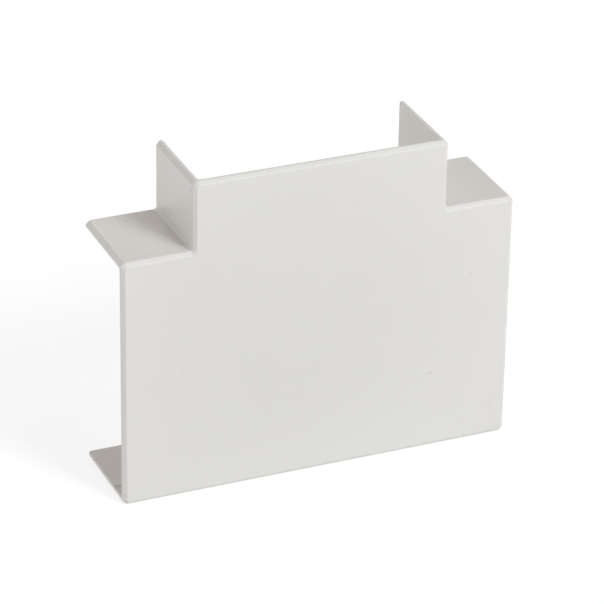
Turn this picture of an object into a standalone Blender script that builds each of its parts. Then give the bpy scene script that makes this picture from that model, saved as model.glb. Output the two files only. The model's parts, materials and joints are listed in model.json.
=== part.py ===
"""A tee cover for rectangular cable trunking, moulded in one piece.

The cover stands on the side wall of its straight run. X runs along the straight run, Y from
the front plate back to the building wall, and Z up along the branch. The origin is under the
middle of the cover, on the surface that it stands on. All sizes are in metres.
"""

import math

import bmesh
import bpy
from mathutils import Matrix, Vector

# Trunking that the cover fits over, and the room it leaves around it.
TRUNKING_WIDTH = 0.1000
TRUNKING_DEPTH = 0.0400
SIDE_CLEARANCE = 0.0004
RIM_CLEARANCE = 0.0010

# Plastic thickness, and how far each of the three arms reaches over its trunking.
PLATE = 0.0027
WALL = 0.0028
ARM_REACH = 0.0293

# Flat chamfers. One runs all round the front and one round the back, each as wide on both of
# its faces. One is at the six outward corners, where the side walls end: its width along the
# wall's outer face, and across the wall's end.
FRONT_CHAMFER = 0.0015
RIM_CHAMFER = 0.0010
CORNER_ALONG = 0.0018
CORNER_ACROSS = 0.0015

# Roundings: the outer corner between an arm and the branch, the inner corner between the
# plate and the walls, and every sharp edge left over.
FILLET_RADIUS = 0.0010
INNER_RADIUS = 0.0008
EASED_RADIUS = 0.0005
FILLET_SEGMENTS = 4
INNER_SEGMENTS = 3
EASED_SEGMENTS = 2

# Retaining catches inside the straight run, one near each end of each side wall: a low rib,
# and a shallow pocket between it and the plate.
CATCH_INSET = 0.0007
CATCH_TO_FILLET = 0.0020
RIB_FROM_PLATE = 0.0088
RIB_HEIGHT = 0.0003
RIB_LAND = 0.0004
RIB_RAMP = 0.0046
POCKET_FROM_PLATE = 0.0032
POCKET_DEPTH = 0.0002

# Off-white plastic with a satin surface.
PLASTIC_COLOUR = (0.79, 0.78, 0.75, 1.0)
PLASTIC_ROUGHNESS = 0.45

# How far a cutter runs past the faces that it opens.
OVERRUN = 0.0050

# Sizes that follow.
SIDE_HEIGHT = TRUNKING_WIDTH + 2 * (SIDE_CLEARANCE + WALL)
BRANCH_WIDTH = SIDE_HEIGHT
RUN_LENGTH = BRANCH_WIDTH + 2 * ARM_REACH
TOTAL_HEIGHT = SIDE_HEIGHT + ARM_REACH
DEPTH = PLATE + TRUNKING_DEPTH - RIM_CLEARANCE
FRONT = -DEPTH / 2
BACK = DEPTH / 2
CATCH_LENGTH = ARM_REACH - CATCH_INSET - CATCH_TO_FILLET

# An edge between faces that turn by more than this is a sharp one.
SHARP_TURN = math.radians(60)

ACROSS = Vector((1, 0, 0))
BACKWARD = Vector((0, 1, 0))
UP = Vector((0, 0, 1))


def clear_scene():
    for obj in list(bpy.data.objects):
        bpy.data.objects.remove(obj)


def new_collection(name):
    collection = bpy.data.collections.new(name)
    bpy.context.scene.collection.children.link(collection)
    return collection


def plastic():
    material = bpy.data.materials.new("off_white_plastic")
    material.use_nodes = True
    shader = material.node_tree.nodes["Principled BSDF"]
    shader.inputs["Base Color"].default_value = PLASTIC_COLOUR
    shader.inputs["Roughness"].default_value = PLASTIC_ROUGHNESS
    shader.inputs["Metallic"].default_value = 0.0
    return material


def tee_outline(half_run, floor, shelf, half_branch, top):
    """The eight corners of an upright tee, anticlockwise from the lower left."""
    return [
        (-half_run, floor),
        (half_run, floor),
        (half_run, shelf),
        (half_branch, shelf),
        (half_branch, top),
        (-half_branch, top),
        (-half_branch, shelf),
        (-half_run, shelf),
    ]


def fillet(corner):
    """The quarter circle that replaces the right inward corner, from the branch down to the arm."""
    points = []
    for step in range(FILLET_SEGMENTS + 1):
        turn = math.pi / 2 * step / FILLET_SEGMENTS
        right = corner[0] + FILLET_RADIUS * (1 - math.cos(turn))
        points.append((right, corner[1] + FILLET_RADIUS * (1 - math.sin(turn))))
    return points


def outer_outline():
    """The cover's own tee, with its inward corners rounded and its outward ones chamfered."""
    run, branch = RUN_LENGTH / 2, BRANCH_WIDTH / 2
    right_half = [
        (run - CORNER_ALONG, 0),
        (run, CORNER_ACROSS),
        (run, SIDE_HEIGHT - CORNER_ACROSS),
        (run - CORNER_ALONG, SIDE_HEIGHT),
        *reversed(fillet((branch, SIDE_HEIGHT))),
        (branch, TOTAL_HEIGHT - CORNER_ALONG),
        (branch - CORNER_ACROSS, TOTAL_HEIGHT),
    ]
    return right_half + [(-right, up) for right, up in reversed(right_half)]


def placement(right, up, centre):
    """The matrix that turns a drawing's own right and up into the given directions."""
    matrix = Matrix((right, up, right.cross(up))).transposed().to_4x4()
    matrix.translation = centre
    return matrix


def prism(name, outline, thickness, matrix, collection):
    """A flat outline given a thickness, half of it on each side of its plane."""
    curve = bpy.data.curves.new(name, "CURVE")
    curve.dimensions = "2D"
    curve.fill_mode = "BOTH"
    curve.extrude = thickness / 2
    spline = curve.splines.new("POLY")
    spline.points.add(len(outline) - 1)
    for point, (right, up) in zip(spline.points, outline):
        point.co = (right, up, 0, 1)
    spline.use_cyclic_u = True
    drawing = bpy.data.objects.new(name + "_outline", curve)
    collection.objects.link(drawing)
    drawing.matrix_world = matrix
    bpy.context.view_layer.update()
    graph = bpy.context.evaluated_depsgraph_get()
    mesh = bpy.data.meshes.new_from_object(drawing.evaluated_get(graph))
    mesh.transform(matrix)
    mesh.name = name
    solid = bpy.data.objects.new(name, mesh)
    collection.objects.link(solid)
    bpy.data.objects.remove(drawing)
    weld(mesh)
    return solid


def weld(mesh):
    """Joins an extruded outline's caps to its sides, and makes each flat side one face."""
    work = bmesh.new()
    work.from_mesh(mesh)
    bmesh.ops.remove_doubles(work, verts=work.verts, dist=1e-6)
    bmesh.ops.dissolve_limit(work, angle_limit=1e-3, verts=work.verts, edges=work.edges)
    bmesh.ops.recalc_face_normals(work, faces=work.faces)
    work.to_mesh(mesh)
    work.free()


def take_off_edges(solid, width_at, largest, segments):
    """Rounds each edge, or with one segment chamfers it, by the width that the function states."""
    mesh = solid.data
    weights = mesh.attributes.new("bevel_weight_edge", "FLOAT", "EDGE")
    for edge in mesh.edges:
        first, second = (mesh.vertices[index].co for index in edge.vertices)
        weights.data[edge.index].value = width_at(first, second) / largest
    bevel = solid.modifiers.new("edges", "BEVEL")
    bevel.limit_method = "WEIGHT"
    bevel.width = largest
    bevel.segments = segments


def ease_sharp_edges(solid):
    """Takes the sharpness off every edge that is still sharp."""
    bevel = solid.modifiers.new("easing", "BEVEL")
    bevel.limit_method = "ANGLE"
    bevel.angle_limit = SHARP_TURN
    bevel.width = EASED_RADIUS
    bevel.segments = EASED_SEGMENTS


def near(value, target):
    return abs(value - target) < 1e-5


def both_at_depth(first, second, depth):
    return near(first.y, depth) and near(second.y, depth)


def chamfer_at(first, second):
    if both_at_depth(first, second, FRONT):
        return FRONT_CHAMFER
    return RIM_CHAMFER if both_at_depth(first, second, BACK) else 0


def hollow_radius_at(first, second):
    return INNER_RADIUS if both_at_depth(first, second, FRONT + PLATE) else 0


def combine(solid, other, operation):
    boolean = solid.modifiers.new(other.name, "BOOLEAN")
    boolean.object = other
    boolean.operation = operation
    boolean.solver = "EXACT"
    other.hide_render = True
    other.display_type = "WIRE"


def outer_block(collection):
    """The tee as a solid block, with its outer edges chamfered."""
    matrix = placement(ACROSS, UP, Vector((0, 0, 0)))
    block = prism("tee_cover", outer_outline(), DEPTH, matrix, collection)
    take_off_edges(block, chamfer_at, FRONT_CHAMFER, 1)
    return block


def hollow(collection):
    """The inside of the cover, open at the back and at the ends of the three arms."""
    outline = tee_outline(
        RUN_LENGTH / 2 + OVERRUN,
        WALL,
        SIDE_HEIGHT - WALL,
        BRANCH_WIDTH / 2 - WALL,
        TOTAL_HEIGHT + OVERRUN,
    )
    front = FRONT + PLATE
    back = BACK + OVERRUN
    matrix = placement(ACROSS, UP, Vector((0, (front + back) / 2, 0)))
    cutter = prism("hollow", outline, back - front, matrix, collection)
    take_off_edges(cutter, hollow_radius_at, INNER_RADIUS, INNER_SEGMENTS)
    return cutter


def rib_outline():
    """A rib across its length: steep towards the plate, flat, then a lead-in ramp."""
    steep = FRONT + PLATE + RIB_FROM_PLATE
    crest = steep + RIB_LAND
    foot = crest + RIB_RAMP
    root = -WALL / 2
    return [(steep, root), (foot, root), (foot, 0), (crest, RIB_HEIGHT), (steep, RIB_HEIGHT)]


def pocket_outline():
    """A pocket across its length, from near the plate to the steep side of the rib."""
    near_plate = FRONT + PLATE + POCKET_FROM_PLATE
    steep = FRONT + PLATE + RIB_FROM_PLATE
    mouth = RIB_HEIGHT
    return [(near_plate, -POCKET_DEPTH), (steep, -POCKET_DEPTH), (steep, mouth), (near_plate, mouth)]


def add_catches(cover, helpers):
    """A rib and its pocket near each end of the lower side wall and of the upper ones."""
    middle = RUN_LENGTH / 2 - CATCH_INSET - CATCH_LENGTH / 2
    for side, x in (("left", -middle), ("right", middle)):
        for level, z, up in (("lower", WALL, UP), ("upper", SIDE_HEIGHT - WALL, -UP)):
            matrix = placement(BACKWARD, up, Vector((x, 0, z)))
            place = f"{level}_{side}"
            rib = prism(place + "_rib", rib_outline(), CATCH_LENGTH, matrix, helpers)
            pocket = prism(place + "_pocket", pocket_outline(), CATCH_LENGTH, matrix, helpers)
            combine(cover, rib, "UNION")
            combine(cover, pocket, "DIFFERENCE")


def tee_cover(parts, helpers):
    cover = outer_block(parts)
    combine(cover, hollow(helpers), "DIFFERENCE")
    ease_sharp_edges(cover)
    add_catches(cover, helpers)
    cover.data.materials.append(plastic())
    cover.data.shade_smooth()
    cover.data.set_sharp_from_angle(angle=0.6)
    return cover


def main():
    clear_scene()
    tee_cover(new_collection("trunking_tee_fitting"), new_collection("cutters"))


main()
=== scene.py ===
"""Looks of a trunking tee cover: one off-white plastic moulding that stands on a white studio floor.

All sizes are in metres, in the cover's own frame: X along the straight run, Y from the front plate
back to the building wall, and Z up along the branch.
"""

import json
import math

import bmesh
import bpy
from mathutils import Euler, Matrix, Vector

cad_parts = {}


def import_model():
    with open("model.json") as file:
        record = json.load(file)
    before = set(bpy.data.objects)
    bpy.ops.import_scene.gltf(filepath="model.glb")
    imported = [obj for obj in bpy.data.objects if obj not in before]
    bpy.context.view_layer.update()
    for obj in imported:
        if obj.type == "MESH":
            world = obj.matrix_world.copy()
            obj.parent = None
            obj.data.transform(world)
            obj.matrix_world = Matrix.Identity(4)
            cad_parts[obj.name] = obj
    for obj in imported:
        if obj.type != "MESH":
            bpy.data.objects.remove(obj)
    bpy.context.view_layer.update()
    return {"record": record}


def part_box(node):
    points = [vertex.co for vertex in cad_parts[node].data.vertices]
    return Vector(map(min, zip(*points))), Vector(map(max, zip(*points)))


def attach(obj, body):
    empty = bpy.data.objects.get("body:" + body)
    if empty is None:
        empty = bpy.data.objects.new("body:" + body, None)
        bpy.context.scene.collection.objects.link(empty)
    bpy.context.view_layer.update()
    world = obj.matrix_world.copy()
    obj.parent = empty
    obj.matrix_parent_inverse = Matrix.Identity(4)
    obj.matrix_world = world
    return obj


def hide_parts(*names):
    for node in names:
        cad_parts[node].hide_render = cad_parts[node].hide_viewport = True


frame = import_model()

MM = 0.001

ACROSS = Vector((1, 0, 0))
BACKWARD = Vector((0, 1, 0))
UP = Vector((0, 0, 1))

# Sizes of the cover, from the frame.
MOUNTS = {mount["name"]: Vector(mount["pos_m"]) for mount in frame["record"]["mounts"]}
LOW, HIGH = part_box("tee_cover")
FRONT, BACK = LOW[1], HIGH[1]
HALF_RUN = HIGH[0]
TOP = HIGH[2]
PLATE = MOUNTS["trunking_seat"].y - FRONT
WALL = MOUNTS["lower_side"].z
SHELF = MOUNTS["upper_left_side"].z + WALL
HALF_BRANCH = MOUNTS["branch_right_side"].x + WALL

# Flat chamfers. One runs all round the front and one round the back, each as wide on both of its
# faces. One is at the six outward corners, where the side walls end: its width along the wall's
# outer face, and across the wall's end.
FRONT_CHAMFER = 1.5 * MM
RIM_CHAMFER = 1.0 * MM
CORNER_ALONG = 1.8 * MM
CORNER_ACROSS = 1.5 * MM

# Roundings: the corners between the branch and the arms, the corner inside along the plate, the
# creases beside the chamfers, and every edge that is still sharp. A crease or an edge is one where
# the surface turns by more than the angle given.
FILLET_RADIUS = 1.0 * MM
FILLET_SEGMENTS = 10
INNER_RADIUS = 0.8 * MM
INNER_SEGMENTS = 6
CREASE_RADIUS = 0.3 * MM
CREASE_SEGMENTS = 3
CREASE_TURN = math.radians(26)
EASED_RADIUS = 0.5 * MM
EASED_SEGMENTS = 5
EASED_TURN = math.radians(60)

# Retaining catches on the inside: a low rib, and a shallow pocket between it and the plate.
CATCH_INSET = 0.7 * MM
CATCH_TO_FILLET = 2.0 * MM
RIB_FROM_PLATE = 8.8 * MM
RIB_HEIGHT = 0.3 * MM
RIB_LAND = 0.4 * MM
RIB_RAMP = 4.6 * MM
POCKET_FROM_PLATE = 3.2 * MM
POCKET_DEPTH = 0.2 * MM
CATCH_RADIUS = 0.12 * MM
CATCH_SEGMENTS = 3

# How far the hollow runs past the faces that it opens, and how close two depths count as one.
OVERRUN = 5.0 * MM
SAME_DEPTH = 0.01 * MM

# Shading: edges that turn by less are smooth, and large faces decide the shading beside them.
SMOOTH_TURN = math.radians(40)
AREA_WEIGHT = 100

# Camera, from the photograph.
CAMERA_PLACE = Vector((-0.489280, -1.144834, 0.717301))
CAMERA_YAW = math.radians(23.180)
CAMERA_PITCH = math.radians(27.656)
CAMERA_ROLL = math.radians(0.959)
CAMERA_LENS = 211.21
CAMERA_SENSOR = 36.0


def new_object(name, data):
    item = bpy.data.objects.new(name, data)
    bpy.context.scene.collection.objects.link(item)
    return item


def prism(name, outline, matrix, thickness):
    """An outline made solid, half of its thickness on each side, and put where the matrix says."""
    work = bmesh.new()
    corners = [work.verts.new((right, up, -thickness / 2)) for right, up in outline]
    cap = work.faces.new(corners)
    grown = bmesh.ops.extrude_face_region(work, geom=[cap], use_keep_orig=True)
    moved = [item for item in grown["geom"] if isinstance(item, bmesh.types.BMVert)]
    bmesh.ops.translate(work, verts=moved, vec=(0, 0, thickness))
    bmesh.ops.transform(work, verts=work.verts, matrix=matrix)
    bmesh.ops.recalc_face_normals(work, faces=work.faces)
    mesh = bpy.data.meshes.new(name)
    work.to_mesh(mesh)
    work.free()
    return new_object(name, mesh)


def placement(right, up, centre):
    """The matrix that turns a drawing's own right and up into the given directions."""
    matrix = Matrix((right, up, right.cross(up))).transposed().to_4x4()
    matrix.translation = centre
    return matrix


def upright_prism(name, outline, front, back):
    """An outline drawn across and up, made solid from one depth to another."""
    matrix = placement(ACROSS, UP, Vector((0, (front + back) / 2, 0)))
    return prism(name, outline, matrix, back - front)


def tee_outline(half_run, floor, shelf, half_branch, top):
    """The eight corners of an upright tee, anticlockwise from the lower left."""
    return [
        (-half_run, floor),
        (half_run, floor),
        (half_run, shelf),
        (half_branch, shelf),
        (half_branch, top),
        (-half_branch, top),
        (-half_branch, shelf),
        (-half_run, shelf),
    ]


def fillet(corner):
    """The quarter circle that replaces the right inward corner, from the branch down to the arm."""
    points = []
    for step in range(FILLET_SEGMENTS + 1):
        turn = math.pi / 2 * step / FILLET_SEGMENTS
        right = corner[0] + FILLET_RADIUS * (1 - math.cos(turn))
        points.append((right, corner[1] + FILLET_RADIUS * (1 - math.sin(turn))))
    return points


def outer_outline():
    """The cover's own tee, with its inward corners rounded and its outward ones chamfered."""
    right_half = [
        (HALF_RUN - CORNER_ALONG, 0),
        (HALF_RUN, CORNER_ACROSS),
        (HALF_RUN, SHELF - CORNER_ACROSS),
        (HALF_RUN - CORNER_ALONG, SHELF),
        *reversed(fillet((HALF_BRANCH, SHELF))),
        (HALF_BRANCH, TOP - CORNER_ALONG),
        (HALF_BRANCH - CORNER_ACROSS, TOP),
    ]
    return right_half + [(-right, up) for right, up in reversed(right_half)]


def take_off_edges(solid, width_at, largest, segments):
    """Rounds each edge, or with one segment chamfers it, by the width that the function states."""
    mesh = solid.data
    weights = mesh.attributes.new("bevel_weight_edge", "FLOAT", "EDGE")
    for edge in mesh.edges:
        first, second = (mesh.vertices[index].co for index in edge.vertices)
        weights.data[edge.index].value = width_at(first, second) / largest
    bevel = solid.modifiers.new("weighted", "BEVEL")
    bevel.limit_method = "WEIGHT"
    bevel.width = largest
    bevel.segments = segments
    bevel.use_clamp_overlap = False


def ease(solid, name, radius, segments, turn):
    """Takes the sharpness off every edge that turns by more than the given angle."""
    bevel = solid.modifiers.new(name, "BEVEL")
    bevel.limit_method = "ANGLE"
    bevel.angle_limit = turn
    bevel.width = radius
    bevel.segments = segments
    bevel.use_clamp_overlap = False


def both_at_depth(first, second, depth):
    return abs(first.y - depth) < SAME_DEPTH and abs(second.y - depth) < SAME_DEPTH


def chamfer_at(first, second):
    if both_at_depth(first, second, FRONT):
        return FRONT_CHAMFER
    return RIM_CHAMFER if both_at_depth(first, second, BACK) else 0


def hollow_radius_at(first, second):
    return INNER_RADIUS if both_at_depth(first, second, FRONT + PLATE) else 0


def combine(solid, other, operation):
    boolean = solid.modifiers.new(other.name, "BOOLEAN")
    boolean.object = other
    boolean.operation = operation
    boolean.solver = "EXACT"


def outer_block():
    """The tee as a solid block, with its outer edges chamfered and the creases eased."""
    block = upright_prism("moulded_cover_block", outer_outline(), FRONT, BACK)
    take_off_edges(block, chamfer_at, FRONT_CHAMFER, 1)
    ease(block, "creases", CREASE_RADIUS, CREASE_SEGMENTS, CREASE_TURN)
    return block


def hollow():
    """The inside of the cover, open at the back and at the ends of the three arms."""
    outline = tee_outline(HALF_RUN + OVERRUN, WALL, SHELF - WALL, HALF_BRANCH - WALL, TOP + OVERRUN)
    cutter = upright_prism("hollow", outline, FRONT + PLATE, BACK + OVERRUN)
    take_off_edges(cutter, hollow_radius_at, INNER_RADIUS, INNER_SEGMENTS)
    return cutter


def rib_outline():
    """A rib across its length: steep towards the plate, flat, then a lead-in ramp."""
    steep = FRONT + PLATE + RIB_FROM_PLATE
    crest = steep + RIB_LAND
    foot = crest + RIB_RAMP
    root = -WALL / 2
    return [(steep, root), (foot, root), (foot, 0), (crest, RIB_HEIGHT), (steep, RIB_HEIGHT)]


def pocket_outline():
    """A pocket across its length, from near the plate to the steep side of the rib."""
    near_plate = FRONT + PLATE + POCKET_FROM_PLATE
    steep = FRONT + PLATE + RIB_FROM_PLATE
    bottom, mouth = -POCKET_DEPTH, RIB_HEIGHT
    return [(near_plate, bottom), (steep, bottom), (steep, mouth), (near_plate, mouth)]


def add_catches(cover):
    """A rib and its pocket near each end of the lower side wall and of the upper ones."""
    length = HALF_RUN - HALF_BRANCH - CATCH_INSET - CATCH_TO_FILLET
    middle = HALF_RUN - CATCH_INSET - length / 2
    helpers = []
    for x in (-middle, middle):
        for z, up in ((WALL, UP), (SHELF - WALL, -UP)):
            matrix = placement(BACKWARD, up, Vector((x, 0, z)))
            rib = prism("rib", rib_outline(), matrix, length)
            pocket = prism("pocket", pocket_outline(), matrix, length)
            for shape, operation in ((rib, "UNION"), (pocket, "DIFFERENCE")):
                ease(shape, "edges", CATCH_RADIUS, CATCH_SEGMENTS, EASED_TURN)
                combine(cover, shape, operation)
                helpers.append(shape)
    return helpers


def with_modifiers_applied(name, source, helpers=()):
    """A new object with the shape that the modifiers make. The objects that made it are removed."""
    bpy.context.view_layer.update()
    graph = bpy.context.evaluated_depsgraph_get()
    mesh = bpy.data.meshes.new_from_object(source.evaluated_get(graph))
    mesh.name = name
    for item in [source, *helpers]:
        bpy.data.objects.remove(item)
    return new_object(name, mesh)


def smooth_by_area(piece):
    """Flat faces shade flat, and the roundings between them shade smooth."""
    piece.data.shade_smooth()
    piece.data.set_sharp_from_angle(angle=SMOOTH_TURN)
    weighting = piece.modifiers.new("weighting", "WEIGHTED_NORMAL")
    weighting.mode = "FACE_AREA"
    weighting.weight = AREA_WEIGHT
    weighting.keep_sharp = True


def moulded_cover():
    """The whole cover as one mesh, which stands for the solid of the frame."""
    block = outer_block()
    cutter = hollow()
    combine(block, cutter, "DIFFERENCE")
    ease(block, "edges", EASED_RADIUS, EASED_SEGMENTS, EASED_TURN)
    helpers = [cutter, *add_catches(block)]
    shaped = with_modifiers_applied("shaped_cover", block, helpers)
    smooth_by_area(shaped)
    cover = with_modifiers_applied("moulded_cover", shaped)
    cover.data.materials.clear()
    cover.data.materials.append(plastic())
    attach(cover, "root")
    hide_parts("tee_cover")


# Colour of the plastic. Painted shade: it is a little darker round one place on the front and gets
# paler away from it, between two distances, in place of the soft shading across the front plate. It
# also varies in broad clouds and in a fine mottle, where each spread is the share by which it goes up
# or down.
PLASTIC_COLOUR = (0.755, 0.745, 0.715)
PAINTED_SHADE_CENTRE = Vector((-12 * MM, FRONT, 78 * MM))
PAINTED_SHADE_FADE_START = 25 * MM
PAINTED_SHADE_FADE_END = 105 * MM
PAINTED_SHADE_RANGE = 0.045
CLOUD_SIZE = 45 * MM
CLOUD_SPREAD = 0.006
MOTTLE_SIZE = 1.3 * MM
MOTTLE_SPREAD = 0.003

# Satin surface: its roughness, which varies in patches, and the edges, which are worn smoother. The
# last two values say how well the rounded normal and the true one agree where the wear starts and
# where it is full. On a flat face they agree by 1.
ROUGHNESS = 0.36
ROUGHNESS_SPREAD = 0.04
PATCH_SIZE = 6 * MM
EDGE_RADIUS = 0.6 * MM
EDGE_SAMPLES = 4
EDGE_POLISH = 0.04
WEAR_START = 0.995
WEAR_FULL = 0.90

# Relief: slow waves of the moulding, and a fine grain.
WAVE_SIZE = 14.0 * MM
WAVE_DEPTH = 0.006 * MM
GRAIN_SIZE = 0.35 * MM
GRAIN_DEPTH = 0.004 * MM
GRAIN_ROUGHNESS = 0.6

# How many finer layers each kind of noise has, and the range that most of its values lie in.
WAVE_DETAIL = 1.0
CLOUD_DETAIL = 2.0
FINE_DETAIL = 3.0
PATCH_DETAIL = 4.0
NOISE_ROUGHNESS = 0.5
NOISE_LOW = 0.25
NOISE_HIGH = 0.75

# Dark specks moulded into the plastic. The first two numbers of each are its place in mm, the third
# is its radius in mm, and the last is how far it darkens the plastic. The place is X and height on
# the front, X and the distance behind the front on the left ledge, and that distance and height on
# the branch's left wall.
SPECK_COLOUR = (0.26, 0.215, 0.16, 1.0)
FRONT_SPECKS = [
    (-30.9, 56.9, 0.40, 0.20),
    (48.4, 33.7, 0.95, 0.13),
    (-29.7, 72.6, 0.34, 0.17),
    (75.4, 14.5, 1.00, 0.08),
    (45.6, 77.5, 0.32, 0.12),
    (66.4, 49.3, 0.34, 0.11),
    (64.9, 75.7, 1.20, 0.07),
    (-35.5, 122.8, 0.36, 0.10),
    (-1.5, 48.5, 0.32, 0.09),
    (59.5, 8.4, 0.34, 0.08),
    (-31.4, 119.9, 0.34, 0.08),
    (-68.0, 54.4, 1.10, 0.04),
    (-57.6, 54.6, 1.30, 0.05),
    (55.6, 103.0, 0.34, 0.08),
    (47.3, 105.8, 0.40, 0.07),
    (-9.7, 27.1, 0.30, 0.07),
    (73.7, 33.8, 0.30, 0.07),
    (49.6, 13.7, 0.28, 0.06),
]
LEDGE_SPECKS = [
    (-67.8, 34.2, 0.50, 0.50),
    (-63.5, 34.4, 0.42, 0.34),
    (-67.9, 28.1, 0.44, 0.34),
]
BRANCH_SPECKS = [
    (3.3, 131.1, 0.60, 0.42),
    (6.5, 112.7, 0.45, 0.26),
]

# A speck fades out between these two shares of its radius.
SPECK_OUTSIDE = 1.15
SPECK_CORE = 0.55

# Fainter specks scattered all over: one can lie in each cell of this size, and few do. Their
# radius is a share of the cell's size.
SCATTER_SIZE = 9.0 * MM
SCATTER_RADIUS = 0.030
SCATTER_SHARE = 0.22
SCATTER_DARKENING = 0.10


class Nodes:
    """Adds nodes to one tree and joins them."""

    def __init__(self, tree):
        self.tree = tree

    def add(self, kind, inputs=None, **settings):
        node = self.tree.nodes.new(kind)
        for name, value in settings.items():
            setattr(node, name, value)
        for name, value in (inputs or {}).items():
            if isinstance(value, bpy.types.NodeSocket):
                self.tree.links.new(value, node.inputs[name])
            else:
                node.inputs[name].default_value = value
        return node

    def maths(self, operation, first, second=0.0):
        node = self.add("ShaderNodeMath", {0: first, 1: second}, operation=operation)
        return node.outputs[0]

    def vector_value(self, operation, first, second):
        """A number that two vectors give, such as their distance."""
        node = self.add("ShaderNodeVectorMath", {0: first, 1: second}, operation=operation)
        return node.outputs["Value"]

    def noise(self, place, size, detail, roughness=NOISE_ROUGHNESS):
        inputs = {"Vector": place, "Scale": 1 / size, "Detail": detail, "Roughness": roughness}
        return self.add("ShaderNodeTexNoise", inputs).outputs["Fac"]

    def ramp(self, value, start, end, low, high, kind="LINEAR"):
        """Goes from low to high as the value goes from start to end, and stays there beyond."""
        inputs = {"Value": value, "From Min": start, "From Max": end, "To Min": low, "To Max": high}
        return self.add("ShaderNodeMapRange", inputs, interpolation_type=kind).outputs[0]

    def spread(self, value, middle, half_width):
        """Turns a noise's value into a range about a middle one."""
        return self.ramp(value, NOISE_LOW, NOISE_HIGH, middle - half_width, middle + half_width)


def edge_mask(nodes):
    """0 on flat faces and up to about 1 where the surface turns."""
    rounded = nodes.add("ShaderNodeBevel", {"Radius": EDGE_RADIUS}, samples=EDGE_SAMPLES).outputs[0]
    true = nodes.add("ShaderNodeNewGeometry").outputs["Normal"]
    agreement = nodes.vector_value("DOT_PRODUCT", rounded, true)
    return nodes.ramp(agreement, WEAR_START, WEAR_FULL, 0.0, 1.0)


def speck_places():
    """Each speck as its place on the surface, its radius and how far it darkens."""
    places = []
    for across, up, radius, depth in FRONT_SPECKS:
        places.append((Vector((across * MM, FRONT, up * MM)), radius * MM, depth))
    for across, back, radius, depth in LEDGE_SPECKS:
        places.append((Vector((across * MM, FRONT + back * MM, SHELF)), radius * MM, depth))
    for back, up, radius, depth in BRANCH_SPECKS:
        places.append((Vector((-HALF_BRANCH, FRONT + back * MM, up * MM)), radius * MM, depth))
    return places


def speck_mask(nodes, place):
    """How far the specks darken each point: 0 beside them."""
    total = scattered_specks(nodes, place)
    for centre, radius, depth in speck_places():
        away = nodes.vector_value("DISTANCE", place, centre)
        spot = nodes.ramp(away, radius * SPECK_OUTSIDE, radius * SPECK_CORE, 0.0, depth, "SMOOTHSTEP")
        total = nodes.maths("MAXIMUM", total, spot)
    return total


def scattered_specks(nodes, place):
    """The faint specks, one at the seed point of each chosen cell."""
    cells = nodes.add("ShaderNodeTexVoronoi", {"Vector": place, "Scale": 1 / SCATTER_SIZE}).outputs
    chosen = nodes.maths("LESS_THAN", cells["Color"], SCATTER_SHARE)
    spot = nodes.ramp(cells["Distance"], SCATTER_RADIUS, 0.0, 0.0, SCATTER_DARKENING)
    return nodes.maths("MULTIPLY", spot, chosen)


def speckled_colour(nodes, place):
    """The plastic's colour with painted shade across the front, its slow and fine variation and its
    specks.
    """
    # Painted shade: darker round one place on the front, paler away from it.
    away = nodes.vector_value("DISTANCE", place, PAINTED_SHADE_CENTRE)
    lowest, highest = 1.0 - PAINTED_SHADE_RANGE / 2, 1.0 + PAINTED_SHADE_RANGE / 2
    painted_shade = nodes.ramp(away, PAINTED_SHADE_FADE_START, PAINTED_SHADE_FADE_END, lowest, highest, "SMOOTHSTEP")
    cloud = nodes.spread(nodes.noise(place, CLOUD_SIZE, CLOUD_DETAIL), 1.0, CLOUD_SPREAD)
    mottle = nodes.spread(nodes.noise(place, MOTTLE_SIZE, FINE_DETAIL), 1.0, MOTTLE_SPREAD)
    shade = nodes.maths("MULTIPLY", nodes.maths("MULTIPLY", cloud, painted_shade), mottle)
    plain = nodes.add("ShaderNodeVectorMath", {0: PLASTIC_COLOUR, "Scale": shade}, operation="SCALE")
    specked = nodes.add("ShaderNodeMixRGB", {
        "Fac": speck_mask(nodes, place),
        "Color1": plain.outputs[0],
        "Color2": SPECK_COLOUR,
    })
    return specked.outputs[0]


def satin_roughness(nodes, place):
    """Roughness in soft patches, a little lower along the edges."""
    satin = nodes.spread(nodes.noise(place, PATCH_SIZE, PATCH_DETAIL), ROUGHNESS, ROUGHNESS_SPREAD)
    worn = nodes.maths("MULTIPLY", edge_mask(nodes), EDGE_POLISH)
    return nodes.maths("SUBTRACT", satin, worn)


def relief(nodes, place):
    """The normal of the moulding's waves with the grain on top."""
    waves = nodes.add("ShaderNodeBump", {
        "Height": nodes.noise(place, WAVE_SIZE, WAVE_DETAIL),
        "Distance": WAVE_DEPTH,
    })
    grain = nodes.add("ShaderNodeBump", {
        "Height": nodes.noise(place, GRAIN_SIZE, FINE_DETAIL, GRAIN_ROUGHNESS),
        "Distance": GRAIN_DEPTH,
        "Normal": waves.outputs[0],
    })
    return grain.outputs[0]


def plastic():
    material = bpy.data.materials.new("off_white_plastic")
    material.use_nodes = True
    tree = material.node_tree
    shader = tree.nodes["Principled BSDF"]
    nodes = Nodes(tree)
    place = nodes.add("ShaderNodeTexCoord").outputs["Object"]
    tree.links.new(speckled_colour(nodes, place), shader.inputs["Base Color"])
    tree.links.new(satin_roughness(nodes, place), shader.inputs["Roughness"])
    tree.links.new(relief(nodes, place), shader.inputs["Normal"])
    return material


# Light. Each lamp is a soft round panel at its own direction from the cover. Azimuth 0 is in front
# of the cover and 90 on its right.
LAMP_DISTANCE = 4.0
LAMP_AIM = Vector((0, 0, 60 * MM))
SKY_STRENGTH = 0.175
KEY_TINT = (0.972, 1.008, 1.022)
FILL_TINT = (1.044, 0.986, 0.967)

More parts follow.
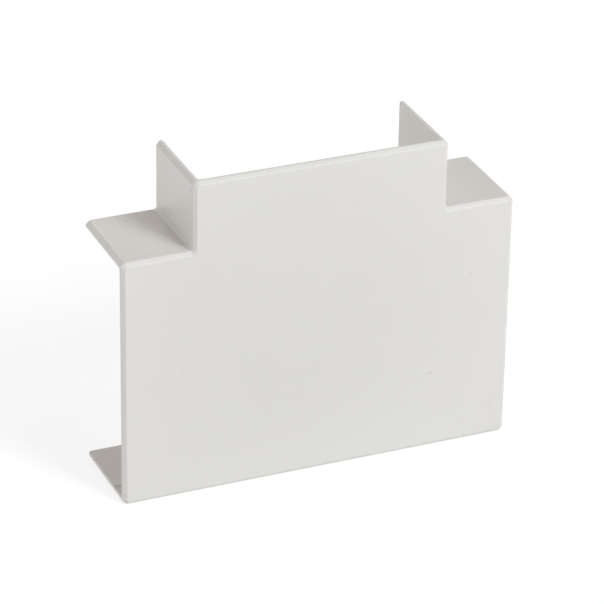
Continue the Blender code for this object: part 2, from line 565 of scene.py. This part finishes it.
# Each lamp's name, azimuth, elevation, width, power and tint.
LAMPS = [
    ("key", 22, 35, 1.0, 63.1, KEY_TINT),
    ("key_side", 35, 35, 1.0, 19.0, KEY_TINT),
    ("upper_front", 10, 65, 1.0, 9.0, FILL_TINT),
    ("upper_right", 50, 65, 1.0, 9.5, FILL_TINT),
    ("low_left", -110, 12, 2.2, 17.7, FILL_TINT),
    ("left", -75, 30, 2.2, 12.7, FILL_TINT),
    ("back_right", 130, 30, 2.2, 7.9, FILL_TINT),
    ("back", 180, 30, 2.2, 15.3, FILL_TINT),
    ("upper_back", 180, 50, 2.2, 14.2, FILL_TINT),
]

# White floor, a disc which turns up at its far edge. Near the cover the lamps light it, and further
# out it is white by itself. Where it shows or is mirrored, most of its light is its own, so that it
# looks white and keeps a faint shadow of the cover.
FLOOR_FLAT = 6.0
FLOOR_TURN = 1.4
FLOOR_TURN_STEPS = 8
FLOOR_SPOKES = 64
FLOOR_WELD = 0.1 * MM
FLOOR_LEVEL = -0.02 * MM
FLOOR_WHITE = 1.0
FLOOR_ALBEDO = 0.8
FLOOR_GLOW = 0.0
SEEN_ALBEDO = 0.35
SEEN_GLOW = 0.75
FLOOR_LIT_RADIUS = 0.6
FLOOR_WHITE_RADIUS = 2.4


def lamp(name, azimuth, elevation, width, power, tint):
    turn, lift = math.radians(azimuth), math.radians(elevation)
    away = Vector((math.sin(turn) * math.cos(lift), -math.cos(turn) * math.cos(lift), math.sin(lift)))
    light = bpy.data.lights.new(name, "AREA")
    light.shape = "DISK"
    light.size = width
    light.energy = power
    light.color = tint
    panel = new_object(name, light)
    panel.location = LAMP_AIM + away * LAMP_DISTANCE
    panel.rotation_euler = away.to_track_quat("Z", "Y").to_euler()
    panel.visible_camera = False


def lamps():
    for name, azimuth, elevation, width, power, tint in LAMPS:
        lamp(name, azimuth, elevation, width, power, tint)


def world():
    """A dim even sky."""
    surroundings = bpy.data.worlds.new("studio")
    bpy.context.scene.world = surroundings
    surroundings.use_nodes = True
    background = surroundings.node_tree.nodes["Background"]
    background.inputs["Color"].default_value = (*FILL_TINT, 1)
    background.inputs["Strength"].default_value = SKY_STRENGTH


def lit_and_glowing(nodes, far, albedo_near, glow_near):
    """A surface that the lamps light near the middle and that is white by itself further out."""
    albedo = nodes.ramp(far, FLOOR_LIT_RADIUS, FLOOR_WHITE_RADIUS, albedo_near, 0.0)
    glow = nodes.ramp(far, FLOOR_LIT_RADIUS, FLOOR_WHITE_RADIUS, glow_near, FLOOR_WHITE)
    lit = nodes.add("ShaderNodeBsdfDiffuse", {"Color": albedo})
    white = nodes.add("ShaderNodeEmission", {"Strength": glow})
    return nodes.add("ShaderNodeAddShader", {0: lit.outputs[0], 1: white.outputs[0]}).outputs[0]


def floor_material():
    """What the floor gives to the cover, and what it shows to the camera and in reflections."""
    material = bpy.data.materials.new("white_floor")
    material.use_nodes = True
    tree = material.node_tree
    tree.nodes.remove(tree.nodes["Principled BSDF"])
    nodes = Nodes(tree)
    place = nodes.add("ShaderNodeTexCoord").outputs["Object"]
    far = nodes.add("ShaderNodeVectorMath", {0: place}, operation="LENGTH").outputs["Value"]
    rays = nodes.add("ShaderNodeLightPath").outputs
    mirrored = nodes.maths("MAXIMUM", rays["Is Glossy Ray"], rays["Is Transmission Ray"])
    seen = nodes.maths("MAXIMUM", rays["Is Camera Ray"], mirrored)
    given = lit_and_glowing(nodes, far, FLOOR_ALBEDO, FLOOR_GLOW)
    shown = lit_and_glowing(nodes, far, SEEN_ALBEDO, SEEN_GLOW)
    surface = nodes.add("ShaderNodeMixShader", {0: seen, 1: given, 2: shown})
    tree.links.new(surface.outputs[0], tree.nodes["Material Output"].inputs["Surface"])
    return material


def floor_profile():
    """The floor from its middle outwards and up: how far out, and how high."""
    profile = [(0, 0)]
    for step in range(FLOOR_TURN_STEPS + 1):
        turn = math.pi / 2 * step / FLOOR_TURN_STEPS
        profile.append((FLOOR_FLAT + FLOOR_TURN * math.sin(turn), FLOOR_TURN * (1 - math.cos(turn))))
    return profile


def floor():
    work = bmesh.new()
    corners = [work.verts.new((out, 0, up)) for out, up in floor_profile()]
    lines = [work.edges.new(pair) for pair in zip(corners, corners[1:])]
    bmesh.ops.spin(work, geom=corners + lines, axis=UP, steps=FLOOR_SPOKES, angle=2 * math.pi)
    bmesh.ops.remove_doubles(work, verts=work.verts, dist=FLOOR_WELD)
    bmesh.ops.recalc_face_normals(work, faces=work.faces)
    mesh = bpy.data.meshes.new("floor")
    work.to_mesh(mesh)
    work.free()
    mesh.shade_smooth()
    mesh.materials.append(floor_material())
    ground = new_object("floor", mesh)
    ground.location.z = FLOOR_LEVEL


def camera():
    lens = bpy.data.cameras.new("camera")
    lens.lens = CAMERA_LENS
    lens.sensor_width = CAMERA_SENSOR
    eye = new_object("camera", lens)
    turned = Euler((math.pi / 2 - CAMERA_PITCH, 0, -CAMERA_YAW)).to_matrix()
    rolled = turned @ Matrix.Rotation(CAMERA_ROLL, 3, "Z")
    eye.matrix_world = Matrix.Translation(CAMERA_PLACE) @ rolled.to_4x4()
    bpy.context.scene.camera = eye


bpy.context.scene.view_settings.view_transform = "Standard"
camera()
world()
floor()
lamps()
moulded_cover()
